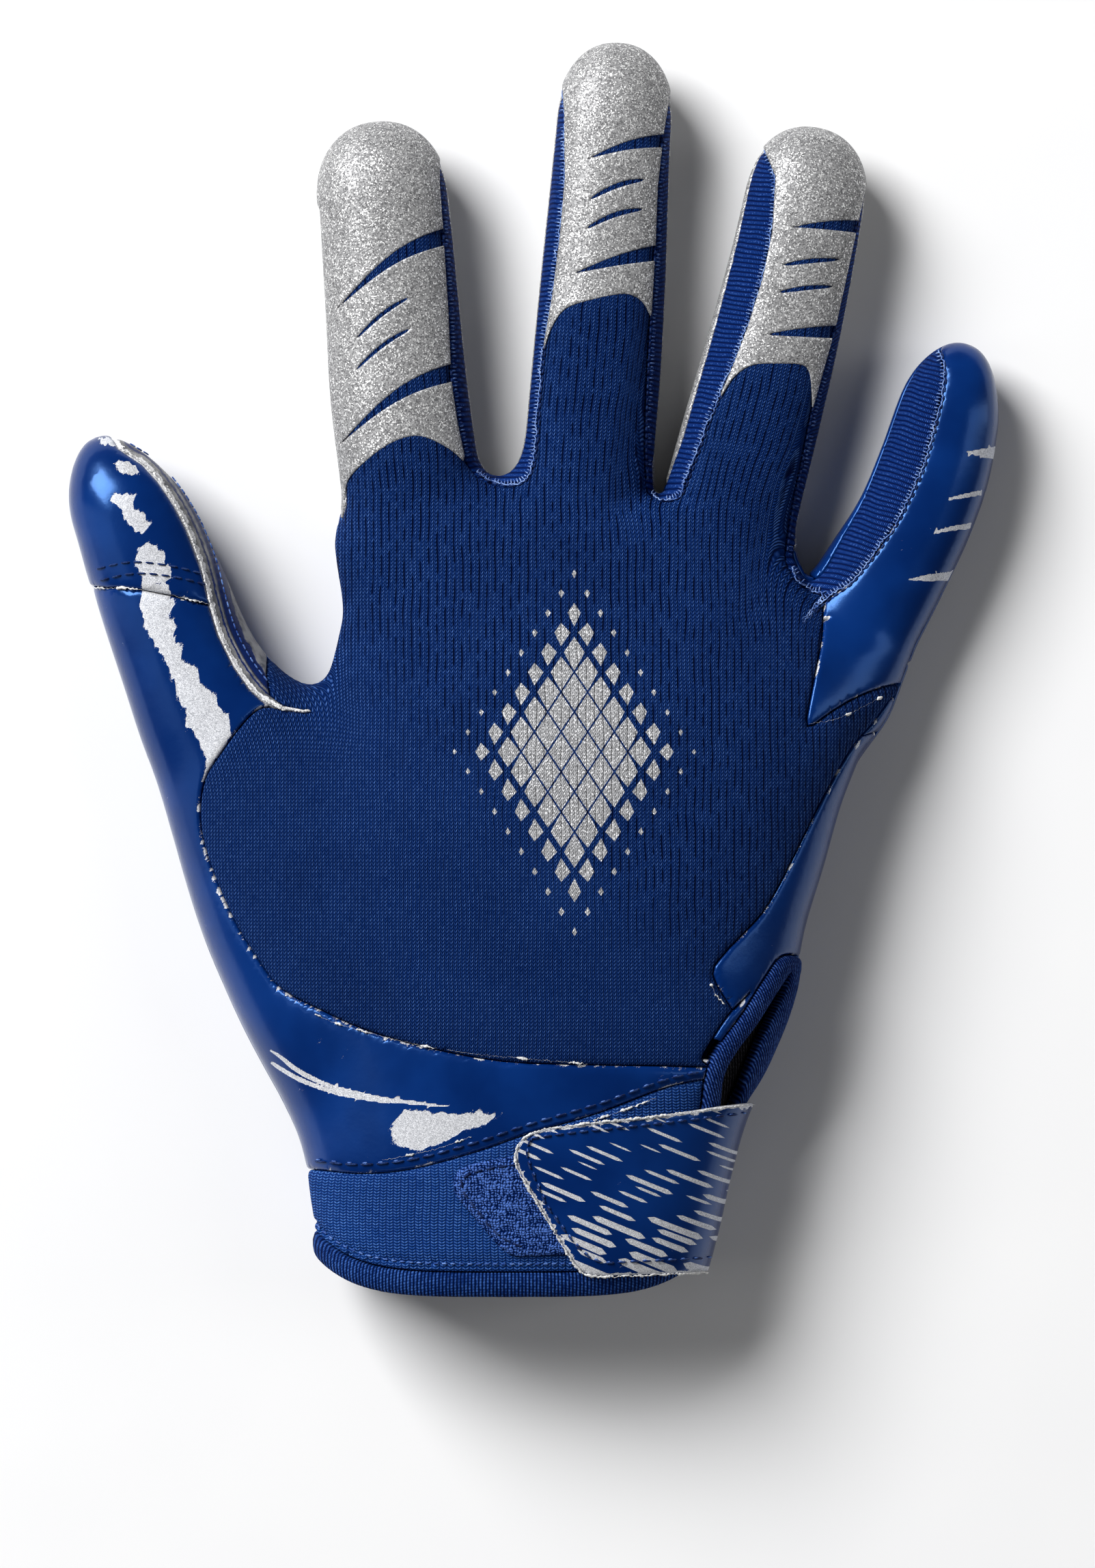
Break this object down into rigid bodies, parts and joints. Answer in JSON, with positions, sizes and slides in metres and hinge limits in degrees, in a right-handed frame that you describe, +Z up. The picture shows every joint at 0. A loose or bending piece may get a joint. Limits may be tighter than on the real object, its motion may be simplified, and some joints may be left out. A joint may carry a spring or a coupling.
{
  "type": "football receiver glove",
  "caption": "Right-hand receiver glove with a knitted back, glossy grip palm, silver finger caps and a strapped elastic cuff.",
  "frame": {"origin": "centre of the underside's bounding box, on the surface that the glove lies on", "axes": "+X towards the little finger's side, +Y from the cuff to the fingertips, +Z up out of the back of the hand"},
  "size_m": [0.1624, 0.2252, 0.0363],
  "materials": {
    "back_knit": "fine knit with narrow wales, navy blue, matt",
    "cuff_knit": "denser elastic knit, blue, matt",
    "binding": "ribbed elastic binding, blue, matt",
    "side_mesh": "fine ribbed stretch mesh, blue, slight sheen",
    "glossy_film": "synthetic grip leather with a glossy blue film",
    "silver_film": "glittering silver film, grained",
    "loop_pile": "loop pile of a hook and loop fastener, blue, matt",
    "dark_cloth": "black woven cloth, matt"
  },
  "bodies": {
    "root": {"cuff_binding": "binding", "vent_binding": "binding", "cuff_band": "cuff_knit", "palm_panel": "glossy_film", "index_front": "silver_film", "middle_front": "silver_film", "ring_front": "silver_film", "little_front": "glossy_film", "thumb_front": "glossy_film", "back_panel": "back_knit", "fourchette_index_middle": "side_mesh", "fourchette_middle_ring": "side_mesh", "fourchette_ring_little": "side_mesh", "index_side": "silver_film", "little_wrap": "glossy_film", "side_strip": "glossy_film", "thumb_gusset": "silver_film", "thumb_tip_cap": "glossy_film", "thumb_wrap": "glossy_film", "index_cap": "silver_film", "middle_cap": "silver_film", "ring_cap": "silver_film", "loop_pad": "loop_pile", "wrist_strap": "glossy_film", "vent_tongue": "dark_cloth"}
  },
  "joints": []
}
